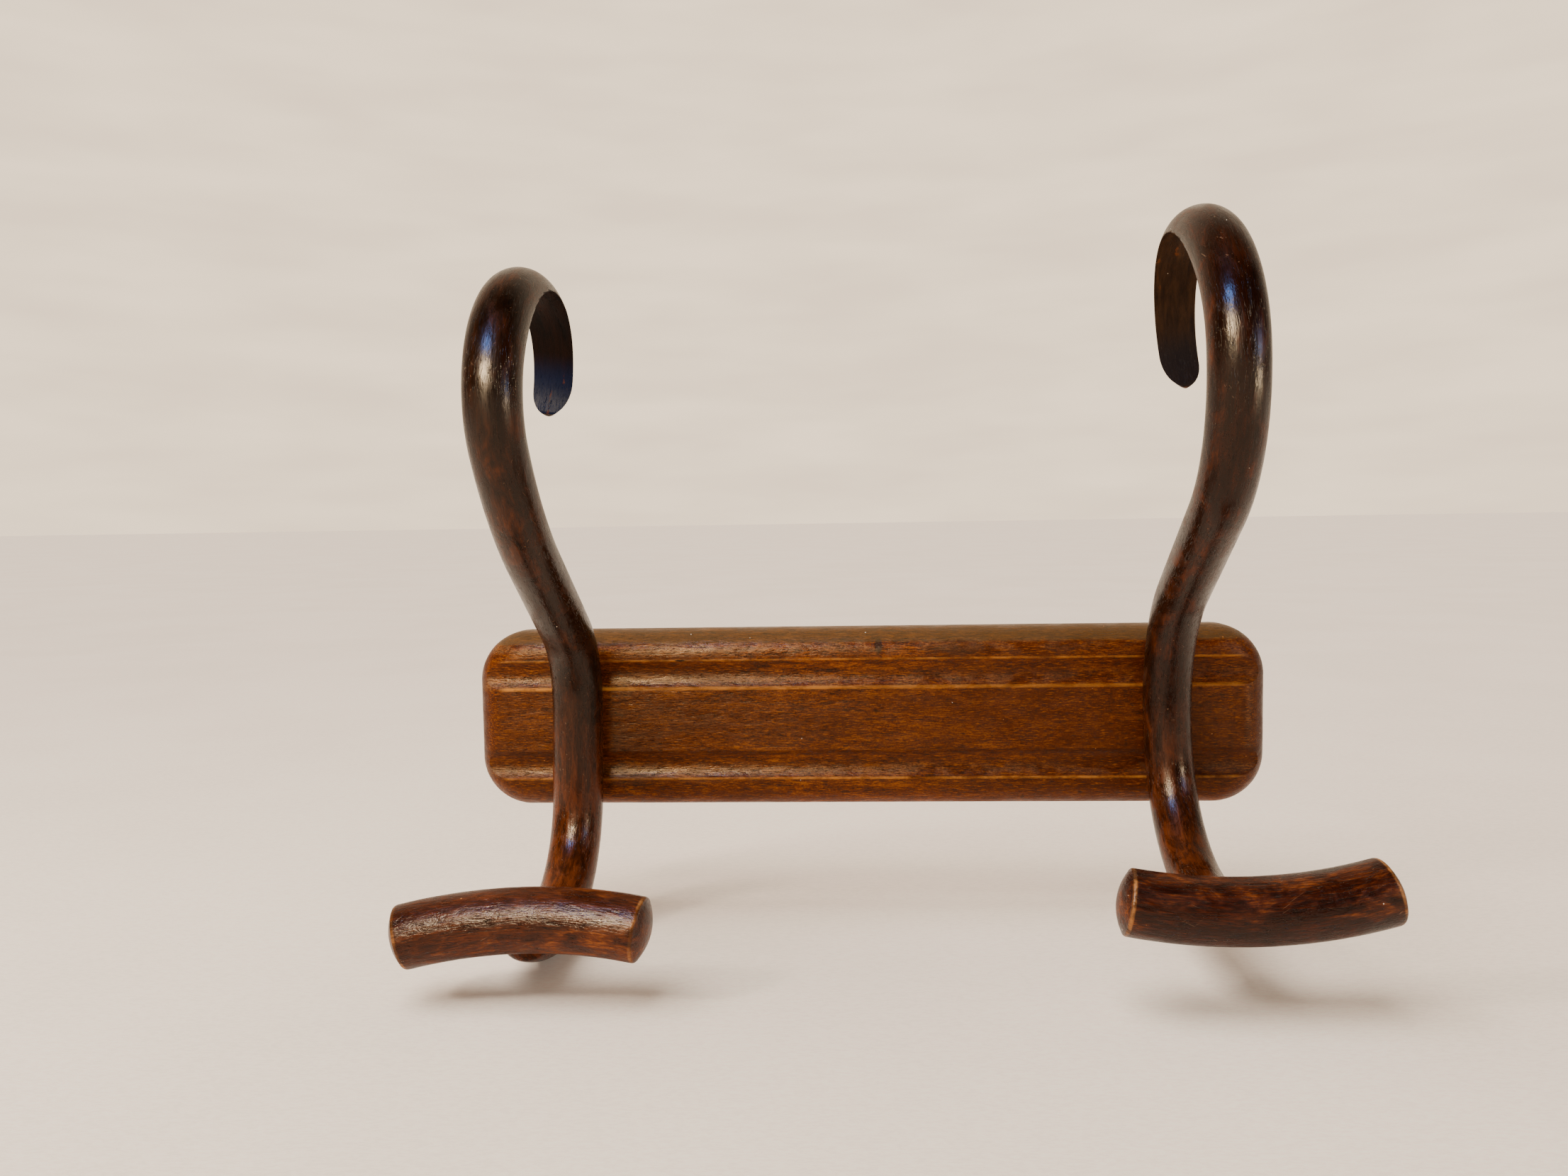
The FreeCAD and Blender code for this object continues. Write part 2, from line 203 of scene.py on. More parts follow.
def hook_mesh(name, hook):
    """A swept rod: necked arm, flat bed on the board, thinned curl and a rounded tip."""
    stations, seat_travel = hook_stations(hook)
    total = stations[-1][0]
    last_bend = stations[-1][3]
    thins = [s for s in stations if s[3] >= last_bend - 1 and s[2] <= hook["thinned_from"]][0][0]
    placed = hook_matrix(hook)
    _, pivot, pivot_heading, _ = [s for s in stations if s[3] == last_bend - 1][-1]
    swing = Matrix.Rotation(radians(hook["curl_tilt"]), 4, heading_vector(pivot_heading))
    tilt = Matrix.Translation(pivot) @ swing @ Matrix.Translation(-pivot)
    _, tip, tip_heading, _ = stations[-1]
    arc_r = hook["above_seat"][-1][0]
    tip_centre = tip - heading_vector(tip_heading + 90) * arc_r
    stations = [s for s in stations if s[0] < total - LAST_RINGS_LENGTH]
    for closeness in LAST_RINGS:
        back = closeness / arc_r * 180 / pi
        place = tip_centre + turned(tip - tip_centre, back)
        stations.append((total - closeness, place, tip_heading + back, last_bend))
    inner_sign = -1 if hook["x"] > 0 else 1
    bm = bmesh.new()
    grain = bm.verts.layers.float_vector.new("grain")
    facing = bm.verts.layers.float.new("inner_face")
    rings = []
    for travel, point, heading, number in stations:
        radius = neck_radius(girth_at(hook, travel, seat_travel, total), travel)
        across = heading_vector(heading + 90)
        side = ALONG
        flat = -2 * radius
        low, high = -radius, radius
        to_tip = total - travel
        if travel > thins:
            part = (travel - thins) / (total - thins)
            flat = radius - curl_thickness(hook, part)
            width = sqrt(radius ** 2 - flat ** 2) if flat > 0 else radius
            middle = TIP_MIDDLE * width
            low = -tip_limit(width, -middle, TIP_OUTER_LENGTH, to_tip)
            high = tip_limit(width, middle, TIP_INNER_LENGTH, to_tip)
            roll = hook["curl_tilt"] * eased(part * 4)
            if number < last_bend:
                spin = Matrix.Rotation(radians(roll), 3, heading_vector(heading))
                across, side = spin @ across, spin @ ALONG
        else:
            width = radius
        ring = []
        for k in range(RING_POINTS):
            angle = 2 * pi * k / RING_POINTS
            a = radius * cos(angle)
            b = radius * sin(angle)
            if travel > thins:
                a = soft_max(a, flat, EDGE_SOFTNESS)
                share = max(-1.0, min(1.0, b * inner_sign / width))
                b = (low + (share + 1) / 2 * (high - low)) * inner_sign
                if to_tip < TIP_NOSE:
                    centre = (radius + flat) / 2
                    a = centre + (a - centre) * sqrt(max(0.02, 1 - (1 - to_tip / TIP_NOSE) ** 2))
            place = point + across * a + side * b
            if number == last_bend:
                place = tilt @ place
            place = placed @ place
            if abs(place.z) < BOARD_HALF_HEIGHT and place.y > -BOARD_THICKNESS:
                place.y = -BOARD_THICKNESS
            vert = bm.verts.new(place * MM)
            vert[grain] = Vector((travel, a, b)) * MM
            vert[facing] = 1.0 if travel > thins and a < flat + FACING_DEPTH else 0.0
            ring.append(vert)
        rings.append(ring)
    skin(bm, rings, (grain, facing))
    return finished(name, bm)


def skin(bm, rings, layers):
    """Quads between the rings, and a fan of triangles over each end."""
    count = len(rings[0])
    for one, two in zip(rings, rings[1:]):
        for k in range(count):
            bm.faces.new((one[k], one[(k + 1) % count], two[(k + 1) % count], two[k]))
    for ring in (rings[0], rings[-1]):
        middle = bm.verts.new(sum((v.co for v in ring), Vector()) / count)
        for layer in layers:
            middle[layer] = ring[0][layer]
        for k in range(count):
            bm.faces.new((ring[k], ring[(k + 1) % count], middle))
    bmesh.ops.recalc_face_normals(bm, faces=bm.faces)


def finished(name, bm):
    mesh = bpy.data.meshes.new(name)
    bm.to_mesh(mesh)
    bm.free()
    mesh.shade_smooth()
    mesh.set_sharp_from_angle(angle=SHARP_ANGLE)
    piece = bpy.data.objects.new(name, mesh)
    bpy.context.scene.collection.objects.link(piece)
    return piece


def bar_matrix(hook, arch):
    """The bar's own frame (X along it, Z up its arch) on the rack, and the foot and line of its bore."""
    stations, _ = hook_stations(hook)
    _, point, heading, _ = stations[0]
    outward = -heading_vector(heading)
    floor_depth = sqrt((BAR_D / 2) ** 2 - POCKET_R ** 2)
    centre = point + outward * (SHOULDER_GAP + floor_depth)
    upright = Vector((0, outward.z, -outward.y)) * arch
    turn = Matrix((ALONG, upright.cross(ALONG), upright)).transposed().to_4x4()
    spin = Matrix.Rotation(radians(hook["bar_turn"]), 4, outward)
    at_centre = Matrix.Translation(centre)
    shift = Matrix.Translation(centre + ALONG * hook["bar_offset"])
    bar = at_centre @ spin @ at_centre.inverted() @ shift @ turn
    placed = hook_matrix(hook)
    floor = centre - outward * floor_depth
    return placed @ bar, placed @ floor, placed.to_3x3() @ outward


def bar_profile():
    """(distance along the bar from its middle, radius) from one end's pole to the other's."""
    bar_r = BAR_D / 2
    dome_r = (bar_r ** 2 + BAR_DOME_HEIGHT ** 2) / (2 * BAR_DOME_HEIGHT)
    half = BAR_HALF_ARC
    dome_centre = half + BAR_DOME_HEIGHT - dome_r
    end = []
    rim_angle = acos((half - dome_centre) / dome_r)
    count = 16
    for k in range(1, count):
        angle = rim_angle * 0.93 * k / (count - 1)
        end.append((dome_centre + dome_r * cos(angle), dome_r * sin(angle)))
    for k in range(1, 6):
        angle = pi / 2 * k / 6
        blend = sin(angle)
        reach, radius = end[count - 2]
        end.append((reach - (reach - half + BAR_RIM_R) * (1 - cos(angle)), radius + (bar_r - radius) * blend))
    inner = half - 2 * BAR_RIM_R
    steps = ceil(2 * inner / STATION_STEP)
    middle = [(inner - 2 * inner * k / steps, bar_r) for k in range(steps + 1)]
    other = [(-reach, radius) for reach, radius in reversed(end)]
    return end + middle + other


def bar_point(reach, a, b):
    """A point at a distance along the bent bar, a up its arch and b to its side, in the bar's own frame."""
    on_arc = max(-BAR_HALF_ARC, min(BAR_HALF_ARC, reach))
    angle = on_arc / BAR_BEND_R
    centre = Vector((BAR_BEND_R * sin(angle), 0, BAR_BEND_R * (cos(angle) - 1)))
    along = Vector((cos(angle), 0, -sin(angle)))
    up = Vector((sin(angle), 0, cos(angle)))
    return centre + along * (reach - on_arc) + up * a + Vector((0, 1, 0)) * b


def bar_grain(point):
    """The straightened bar's coordinates of a point in the bar's own frame."""
    centre = Vector((0, 0, -BAR_BEND_R))
    spoke = point - centre
    angle = asin(max(-1.0, min(1.0, spoke.x / Vector((spoke.x, spoke.z)).length)))
    return Vector((angle * BAR_BEND_R, Vector((spoke.x, spoke.z)).length - BAR_BEND_R, point.y))


def bar_mesh(name, hook, arch):
    to_rack, floor, outward = bar_matrix(hook, arch)
    bm = bmesh.new()
    rings = []
    angles = [2 * pi * k / RING_POINTS for k in range(RING_POINTS)]
    for reach, radius in bar_profile():
        points = [bar_point(reach, radius * cos(t), radius * sin(t)) for t in angles]
        rings.append([bm.verts.new(to_rack @ point * MM) for point in points])
    skin(bm, rings, ())
    piece = finished(name, bm)
    for cutter in (
        round_cutter(floor, -outward, POCKET_R, BAR_D),
        round_cutter(floor - outward, outward, BORE_R, BORE_DEPTH + 1),
    ):
        cut = piece.modifiers.new("cut", "BOOLEAN")
        cut.operation = "DIFFERENCE"
        cut.solver = "EXACT"
        cut.object = cutter
        apply_modifiers(piece)
        bpy.data.objects.remove(cutter)
    to_bar = to_rack.inverted()
    grain = piece.data.attributes.new("grain", "FLOAT_VECTOR", "POINT")
    for vert in piece.data.vertices:
        grain.data[vert.index].vector = bar_grain(to_bar @ (vert.co / MM)) * MM
    piece.data.set_sharp_from_angle(angle=SHARP_ANGLE)
    return piece


def round_cutter(base, axis, radius, length):
    bm = bmesh.new()
    turn = axis.to_track_quat("Z", "Y").to_matrix().to_4x4()
    place = Matrix.Translation((base + axis * length / 2) * MM) @ turn
    bmesh.ops.create_cone(
        bm, cap_ends=True, segments=96, radius1=radius * MM, radius2=radius * MM, depth=length * MM,
        matrix=place,
    )
    mesh = bpy.data.meshes.new("cutter")
    bm.to_mesh(mesh)
    bm.free()
    cutter = bpy.data.objects.new("cutter", mesh)
    bpy.context.scene.collection.objects.link(cutter)
    return cutter


def apply_modifiers(piece):
    bpy.context.view_layer.update()
    graph = bpy.context.evaluated_depsgraph_get()
    mesh = bpy.data.meshes.new_from_object(piece.evaluated_get(graph))
    piece.modifiers.clear()
    piece.data = mesh


# ---- Materials ----

class Paint:
    """One material's nodes. A value given for an input may be a number, a tuple or another node's socket."""

    def __init__(self, name):
        self.material = bpy.data.materials.new(name)
        self.material.use_nodes = True
        self.tree = self.material.node_tree
        self.tree.nodes.clear()

    def node(self, kind, settings=(), inputs=()):
        made = self.tree.nodes.new("ShaderNode" + kind)
        for key, value in dict(settings).items():
            setattr(made, key, value)
        for key, value in dict(inputs).items():
            if isinstance(value, bpy.types.NodeSocket):
                self.tree.links.new(value, made.inputs[key])
            else:
                made.inputs[key].default_value = value
        return made

    def grain(self):
        return self.node("Attribute", {"attribute_name": "grain"}).outputs["Vector"]

    def place(self):
        return self.node("TexCoord").outputs["Object"]

    def axis(self, vector, letter):
        return self.node("SeparateXYZ", {}, {0: vector}).outputs[letter]

    def scaled(self, vector, scale, shift=(0, 0, 0)):
        inputs = {0: vector, 1: scale, 2: shift}
        return self.node("VectorMath", {"operation": "MULTIPLY_ADD"}, inputs).outputs[0]

    def math(self, operation, *values):
        return self.node("Math", {"operation": operation}, dict(enumerate(values))).outputs[0]

    def noise(self, vector, scale, detail=2.0, roughness=0.5, shift=(0, 0, 0), warp=0.0):
        inputs = {"Vector": self.scaled(vector, scale, shift), "Scale": 1.0, "Detail": detail}
        inputs.update({"Roughness": roughness, "Distortion": warp})
        return self.node("TexNoise", {}, inputs).outputs[0]

    def between(self, value, low, high, to_low=0.0, to_high=1.0):
        """value, taken smoothly from to_low at low to to_high at high."""
        inputs = {"Value": value, "From Min": low, "From Max": high, "To Min": to_low, "To Max": to_high}
        return self.node("MapRange", {"interpolation_type": "SMOOTHSTEP"}, inputs).outputs[0]

    def mix(self, factor, one, two, blend="MIX"):
        settings = {"data_type": "RGBA", "blend_type": blend}
        return self.node("Mix", settings, {0: factor, 6: one, 7: two}).outputs[2]

    def ramp(self, value, stops):
        made = self.node("ValToRGB", {}, {0: value})
        elements = made.color_ramp.elements
        while len(elements) < len(stops):
            elements.new(0.5)
        for element, (position, colour) in zip(elements, stops):
            element.position = position
            element.color = colour
        return made.outputs[0]

    def specks(self, vector, per_metre, radius, share):
        """Small round spots scattered through the wood: 1 on a spot, and its random tint."""
        inputs = {"Vector": vector, "Scale": per_metre, "Randomness": 1.0}
        cells = self.node("TexVoronoi", {"feature": "F1"}, inputs)
        tint = self.axis(cells.outputs["Color"], 0)
        size = self.between(tint, 1 - share, 1.0, 0.0, radius * per_metre)
        return self.math("LESS_THAN", cells.outputs["Distance"], size), self.axis(cells.outputs["Color"], 1)

    def bump(self, height, strength, distance, normal=None):
        inputs = {"Height": height, "Strength": strength, "Distance": distance}
        if normal is not None:
            inputs["Normal"] = normal
        return self.node("Bump", {}, inputs).outputs[0]

    def shade(self, colour, roughness, normal, coat=0.0, coat_roughness=0.1, metallic=0.0, specular=0.5,
              tint=(1.0, 1.0, 1.0, 1.0), glow=0.0):
        inputs = {"Base Color": colour, "Roughness": roughness, "Normal": normal, "Metallic": metallic}
        inputs.update({"Coat Weight": coat, "Coat Roughness": coat_roughness, "Specular IOR Level": specular})
        inputs["Specular Tint"] = tint
        if glow:
            inputs.update({"Emission Color": colour, "Emission Strength": glow})
        surface = self.node("BsdfPrincipled", {}, inputs).outputs[0]
        self.node("OutputMaterial", {}, {0: surface})
        return self.material


def rgb(red, green, blue):
    """A colour given as it looks on a screen, from 0 to 255, as linear light."""
    return tuple((c / 255) ** 2.2 for c in (red, green, blue)) + (1.0,)


def wood_layers(paint, where, shift):
    """Noises that all the woods share; the grain runs along the first coordinate."""
    return {
        "broad": paint.noise(where, (11, 30, 30), 2.0, 0.5, shift),
        "patch": paint.noise(where, (60, 110, 110), 4.0, 0.65, (shift[1], shift[0], 3.0), 0.5),
        "streak": paint.noise(where, (48, 330, 330), 4.0, 0.62, shift, 0.3),
        "fibre": paint.noise(where, (170, 1500, 1500), 3.0, 0.6, shift),
        "pore": paint.noise(where, (260, 2300, 2300), 2.0, 0.5, shift),
        "crumb": paint.noise(where, (900, 1500, 1500), 2.0, 0.6, shift),
    }


def board_wood():
    paint = Paint("board_wood")
    where = paint.place()
    layers = wood_layers(paint, where, (2.3, 7.1, 4.4))
    x, y, z = (paint.axis(where, k) for k in range(3))
    tone = paint.math("MULTIPLY_ADD", layers["streak"], 0.34, paint.math("MULTIPLY", layers["fibre"], 0.38))
    tone = paint.math("MULTIPLY_ADD", layers["crumb"], 0.28, tone)
    colour = paint.ramp(tone, (
        (0.40, rgb(42, 17, 1)), (0.46, rgb(78, 33, 1)), (0.52, rgb(102, 46, 2)), (0.60, rgb(146, 80, 11)),
    ))
    dull = paint.between(layers["broad"], 0.35, 0.68)
    colour = paint.mix(paint.math("MULTIPLY", dull, 0.55), colour, rgb(76, 33, 2))
    right = paint.between(x, 0.02, 0.14, 0.0, 0.35)
    colour = paint.mix(right, colour, rgb(74, 30, 0))
    pore = paint.between(layers["pore"], 0.60, 0.68)
    colour = paint.mix(paint.math("MULTIPLY", pore, 0.75), colour, rgb(38, 14, 2))
    fleck = paint.between(layers["pore"], 0.41, 0.34)
    colour = paint.mix(paint.math("MULTIPLY", fleck, 0.4), colour, rgb(184, 98, 14))

    # Pale lines on the arrises beside the flutes: the outer ones are wear; the one above the panel is a
    # painted highlight mixed with wear, brightest to the left where the light falls.
    height = paint.math("ABSOLUTE", z)
    inner_line = (FLUTE_CENTRE_Z - FLUTE_WIDTH / 2) * MM
    outer_line = (FLUTE_CENTRE_Z + FLUTE_WIDTH / 2) * MM
    ragged = paint.noise(where, (90, 90, 90), 4.0, 0.7)
    above = paint.between(z, 0.0, 0.001)
    front = paint.between(y, -0.005, -0.009)
    short_of_ends = paint.between(paint.math("ABSOLUTE", x), 0.199, 0.192)
    left = paint.between(x, 0.12, -0.12, 0.45, 1.0)
    inner = line_at(paint, height, inner_line, 0.0013)
    outer = line_at(paint, height, outer_line, 0.0009)
    # Painted highlight: the line on the panel's arris is kept to the upper half and brightened to the left.
    inner = paint.math("MULTIPLY", paint.math("MULTIPLY", inner, above), left)
    outer = paint.math("MULTIPLY", outer, paint.between(ragged, 0.36, 0.58, 0.2, 0.7))
    worn = paint.math("MAXIMUM", inner, outer)
    worn = paint.math("MULTIPLY", worn, paint.math("MULTIPLY", short_of_ends, front))
    worn = paint.math("MULTIPLY", worn, paint.between(layers["patch"], 0.36, 0.6, 0.45, 0.95))
    colour = paint.mix(worn, colour, rgb(196, 124, 50))
    # A painted shade line just under the panel's lower arris, where the lower flute begins in shade.
    painted_shade_below_panel = line_at(paint, z, -inner_line - 0.0012, 0.0022)
    painted_shade_below_panel = paint.math("MULTIPLY", painted_shade_below_panel, front)
    colour = paint.mix(paint.math("MULTIPLY", painted_shade_below_panel, 0.45), colour, rgb(54, 24, 9))

    # A nick in the top edge, a split on the upper arris and two chips by the lower edge.
    for cx, cz, wide, tall, depth in (
        (0.0065, 0.0385, 0.0022, 0.0050, 0.85), (-0.0990, 0.0318, 0.0036, 0.0007, 0.9),
        (0.1120, -0.0400, 0.0018, 0.0010, 0.7), (0.0820, -0.0430, 0.0012, 0.0012, 0.7),
        (0.0050, 0.0040, 0.0018, 0.0012, 0.6), (-0.0950, -0.0070, 0.0040, 0.0016, 0.35),
    ):
        away = spot(paint, x, z, cx, cz, wide, tall, ragged)
        away = paint.math("MULTIPLY", away, front)
        colour = paint.mix(paint.math("MULTIPLY", away, depth), colour, rgb(30, 14, 8))

    ends = paint.between(paint.math("ABSOLUTE", x), 0.200, 0.209, 0.0, 0.6)
    colour = paint.mix(ends, colour, rgb(56, 24, 8))
    # Painted highlight bands where the light catches the two flutes and the top round-over, mottled like
    # rubbed lacquer and brighter to the left.
    for centre, half_width in ((0.0195, 0.0045), (-0.0275, 0.0045), (0.0385, 0.0040)):
        painted_sheen = line_at(paint, z, centre, half_width)
        painted_sheen = paint.math("MULTIPLY", painted_sheen, paint.between(layers["patch"], 0.42, 0.58))
        painted_sheen = paint.math("MULTIPLY", painted_sheen, paint.between(layers["crumb"], 0.42, 0.60, 0.2, 1.0))
        painted_sheen = paint.math("MULTIPLY", painted_sheen, front)
        painted_sheen = paint.math("MULTIPLY", painted_sheen, paint.between(x, 0.13, -0.10, 0.06, 0.2))
        colour = paint.mix(painted_sheen, colour, rgb(178, 140, 90))
    # A painted grey sheen along the top edge, standing in for the round-over's reflection of the room.
    painted_top_sheen = paint.between(paint.math("MULTIPLY_ADD", ragged, 0.002, z), 0.0405, 0.0425)
    colour = paint.mix(paint.math("MULTIPLY", painted_top_sheen, 0.6), colour, rgb(92, 74, 48))
    shaded = paint.math("MULTIPLY", spot(paint, x, z, 0.048, 0.0375, 0.026, 0.0045, ragged), front)
    colour = paint.mix(paint.math("MULTIPLY", shaded, 0.5), colour, rgb(46, 18, 2))
    back = paint.between(y, -0.0012, -0.0004)
    bare = paint.ramp(tone, ((0.42, rgb(74, 44, 20)), (0.50, rgb(112, 72, 38)), (0.58, rgb(146, 102, 60))))
    colour = paint.mix(paint.math("MULTIPLY", back, 0.75), colour, bare)
    colour, speck = dusted(paint, where, colour, 150.0)
    film = paint.between(layers["patch"], 0.38, 0.62)
    roughness = paint.math("MULTIPLY_ADD", film, 0.16, 0.30)
    roughness = paint.math("MULTIPLY_ADD", back, 0.25, roughness)
    roughness = paint.math("ADD", roughness, paint.math("MULTIPLY", worn, 0.2))
    normal = wood_bump(paint, layers, speck, 0.00022)
    return paint.shade(colour, roughness, normal, specular=0.23, tint=(1.0, 0.76, 0.5, 1.0))


def line_at(paint, value, centre, half_width):
    """1 on a line where value is centre, falling to 0 at half_width from it."""
    off = paint.math("ABSOLUTE", paint.math("SUBTRACT", value, centre))
    return paint.between(off, half_width, half_width * 0.3)


def spot(paint, x, z, cx, cz, wide, tall, ragged):
    """A ragged oval mark on the board, 1 at its middle."""
    dx = paint.math("MULTIPLY", paint.math("SUBTRACT", x, cx), 1 / wide)
    dz = paint.math("MULTIPLY", paint.math("SUBTRACT", z, cz), 1 / tall)
    dx, dz = (paint.math("POWER", paint.math("ABSOLUTE", d), 2.0) for d in (dx, dz))
    away = paint.math("SQRT", paint.math("ADD", dx, dz))
    away = paint.math("ADD", away, paint.math("MULTIPLY_ADD", ragged, 1.6, -0.8))
    return paint.between(away, 1.0, 0.5)


def dusted(paint, where, colour, per_metre):
    """Pale dust specks and small amber ones over a colour, and where they are."""
    speck, tint = paint.specks(where, per_metre, 0.00036, 0.75)
    dust = paint.mix(paint.between(tint, 0.45, 0.5), rgb(190, 120, 64), rgb(222, 208, 190))
    return paint.mix(paint.math("MULTIPLY", speck, 0.85), colour, dust), speck


def wood_bump(paint, layers, speck, distance):
    """Fine fibres, long ripples and dust in the lacquer."""
    height = paint.math("MULTIPLY", layers["streak"], 1.1)
    height = paint.math("MULTIPLY_ADD", layers["fibre"], 0.5, height)
    height = paint.math("MULTIPLY_ADD", layers["crumb"], 0.28, height)
    height = paint.math("MULTIPLY_ADD", paint.between(layers["pore"], 0.60, 0.68), -0.8, height)
    height = paint.math("MULTIPLY_ADD", speck, 1.0, height)
    height = paint.math("MULTIPLY_ADD", layers["patch"], 2.2, height)
    return paint.bump(height, 1.0, distance)


def scratches(paint, where, turn, shift, scale):
    """Thin light scratches in one direction: 1 on a scratch."""
    inputs = {0: where, "Rotation": turn}
    rotated = paint.node("VectorRotate", {"rotation_type": "EULER_XYZ"}, inputs).outputs[0]
    lines = paint.noise(rotated, scale, 1.0, 0.4, shift, 0.1)
    here = paint.noise(where, (45, 60, 60), 1.0, 0.5, shift)
    return paint.math("MULTIPLY", paint.between(lines, 0.735, 0.77), paint.between(here, 0.5, 0.58))


def rod_wood(name, shift, dark, brown, red, amber, redness, gloss, inner=False, toe_wear=0.0):
    """Dark stained bentwood: streaks along the bend, red-brown where the stain has worn, fine scratches."""
    paint = Paint(name)
    where = paint.grain()
    layers = wood_layers(paint, where, shift)
    fine, soft = (0.26, 0.36) if inner else (0.46, 0.20)
    tone = paint.math("MULTIPLY_ADD", layers["fibre"], fine, paint.math("MULTIPLY", layers["patch"], soft))
    tone = paint.math("MULTIPLY_ADD", layers["streak"], 1 - fine - soft, tone)
    base = paint.ramp(tone, ((0.34, dark), (0.50, brown), (0.66, red)))
    warm = paint.ramp(tone, ((0.34, brown), (0.50, red), (0.64, amber)))
    worn = paint.math("MULTIPLY_ADD", layers["patch"], 0.55, paint.math("MULTIPLY", layers["broad"], 0.45))
    worn = paint.between(worn, redness, redness + 0.13)
    if inner:
        below = paint.between(paint.axis(where, 0), 0.20, 0.12)
        worn = paint.math("MAXIMUM", worn, paint.math("MULTIPLY", below, 0.85 * toe_wear))
    colour = paint.mix(paint.math("MULTIPLY", worn, 0.75), base, warm)
    pore = paint.between(layers["pore"], 0.60, 0.70)
    colour = paint.mix(paint.math("MULTIPLY", pore, 0.6), colour, rgb(18, 9, 6))
    if inner:
        reddened = paint.between(tone, 0.42, 0.58, 0.1 * toe_wear, 0.7 * toe_wear)
        reddened = paint.math("MULTIPLY", below, reddened)
        colour = paint.mix(reddened, colour, rgb(112, 54, 22))
    scratch = paint.math(
        "MAXIMUM",
        scratches(paint, where, (0.0, 0.0, 0.5), shift, (60, 2400, 600)),
        scratches(paint, where, (0.3, 0.0, -0.35), (shift[2], 9.0, 1.0), (50, 2200, 700)),
    )
    colour = paint.mix(paint.math("MULTIPLY", scratch, 0.4), colour, rgb(150, 112, 84))
    if not inner:
        reach = paint.math("ABSOLUTE", paint.axis(where, 0))
        rim = line_at(paint, reach, BAR_HALF_ARC * MM - 0.0003, 0.0011)
        rim = paint.math("MULTIPLY", rim, paint.between(layers["patch"], 0.40, 0.60, 0.1, 0.7))
        colour = paint.mix(rim, colour, rgb(176, 116, 62))
    colour, speck = dusted(paint, where, colour, 130.0)
    film = paint.between(layers["patch"], 0.35, 0.65)
    roughness = paint.math("MULTIPLY_ADD", film, 0.14, gloss)
    normal = wood_bump(paint, layers, speck, 0.00014 if inner else 0.00028)
    return paint.shade(colour, roughness, normal, specular=0.24, tint=(1.0, 0.9, 0.8, 1.0))


def curl_wood(name, shift, dark, brown, tip_at, reflection_colour):
    """The curl's thinned inner face: dull and dark, with a painted cool reflection on the last stretch to the
    tip.
    """
    paint = Paint(name)
    where = paint.grain()
    layers = wood_layers(paint, where, shift)
    tone = paint.math("MULTIPLY_ADD", layers["streak"], 0.5, paint.math("MULTIPLY", layers["patch"], 0.5))
    colour = paint.ramp(tone, ((0.38, dark), (0.62, brown)))
    # Painted reflection: the last stretch before the tip takes the given colour of a mirrored window.
    painted_reflection = paint.between(paint.axis(where, 0), tip_at - CURL_REFLECTION_LENGTH, tip_at - CURL_REFLECTION_LENGTH / 2, 0.0, 0.85)
    colour = paint.mix(painted_reflection, colour, reflection_colour)
    scuff = paint.between(layers["patch"], 0.62, 0.68, 0.0, 0.5)
    colour = paint.mix(scuff, colour, rgb(112, 60, 26))
    colour, speck = dusted(paint, where, colour, 130.0)
    return paint.shade(colour, 0.42, wood_bump(paint, layers, speck, 0.00012), specular=0.06)


def dowel_wood():
    paint = Paint("dowel_wood")
    where = paint.place()
    layers = wood_layers(paint, where, (1.0, 3.0, 5.0))
    tone = paint.math("MULTIPLY_ADD", layers["patch"], 0.5, paint.math("MULTIPLY", layers["crumb"], 0.5))
    stops = ((0.35, rgb(150, 112, 70)), (0.5, rgb(190, 152, 104)), (0.65, rgb(212, 180, 132)))
    colour = paint.ramp(tone, stops)
    return paint.shade(colour, 0.62, wood_bump(paint, layers, 0.0, 0.00008))


def steel(name, pale, dull, spread):
    """Bright-drawn or plated steel with a brushed grain, dull patches and small dark freckles."""
    paint = Paint(name)
    where = paint.place()
    brushed = paint.noise(where, (3500, 3500, 260), 3.0, 0.6)
    patch = paint.noise(where, (180, 180, 180), 4.0, 0.65)
    colour = paint.mix(paint.between(patch, 0.42, 0.62), pale, dull)
    freckle, _ = paint.specks(where, 420.0, 0.0005, 0.7)
    colour = paint.mix(paint.math("MULTIPLY", freckle, 0.7), colour, rgb(84, 58, 40))
    roughness = paint.math("MULTIPLY_ADD", patch, spread, 0.22)
    return paint.shade(colour, roughness, paint.bump(brushed, 0.5, 0.00004), metallic=1.0)


def pale_floor():
    paint = Paint("pale_floor")
    where = paint.place()
    weave = paint.noise(where, (900, 900, 900), 2.0, 0.5)
    broad = paint.noise(where, (5, 5, 5), 2.0, 0.5)
    colour = paint.mix(paint.between(broad, 0.3, 0.7), FLOOR_PALE, FLOOR_SHADE)
    threads = paint.noise(where, (300, 900, 900), 3.0, 0.7)
    colour = paint.mix(paint.between(threads, 0.35, 0.65, 0.0, 0.3), colour, rgb(206, 190, 172))
    return paint.shade(colour, 0.9, paint.bump(weave, 0.15, 0.0003), specular=0.2, glow=0.16)


CURL_REFLECTION_LENGTH = 0.026
FLOOR_PALE = rgb(245, 226, 207)
FLOOR_SHADE = rgb(240, 221, 202)
WORLD_COLOUR = rgb(243, 217, 186)
ROOM_FRONT = 0.08
ROOM_BACK = 1.3
ROOM_SEEN = 1.98
ROOM_FOLDS = 0.07


# ---- The rack ----

def dress(node, material):
    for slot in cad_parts[node].material_slots:
        slot.material = material


def hook_length(hook):
    return hook_stations(hook)[0][-1][0] * MM


def line_curl(rod, finish):
    """Gives the curl's flat inner face a finish of its own."""
    rod.data.materials.append(finish)
    facing = rod.data.attributes["inner_face"].data
    for face in rod.data.polygons:
        if all(facing[corner].value > 0.5 for corner in face.vertices):
            face.material_index = 1


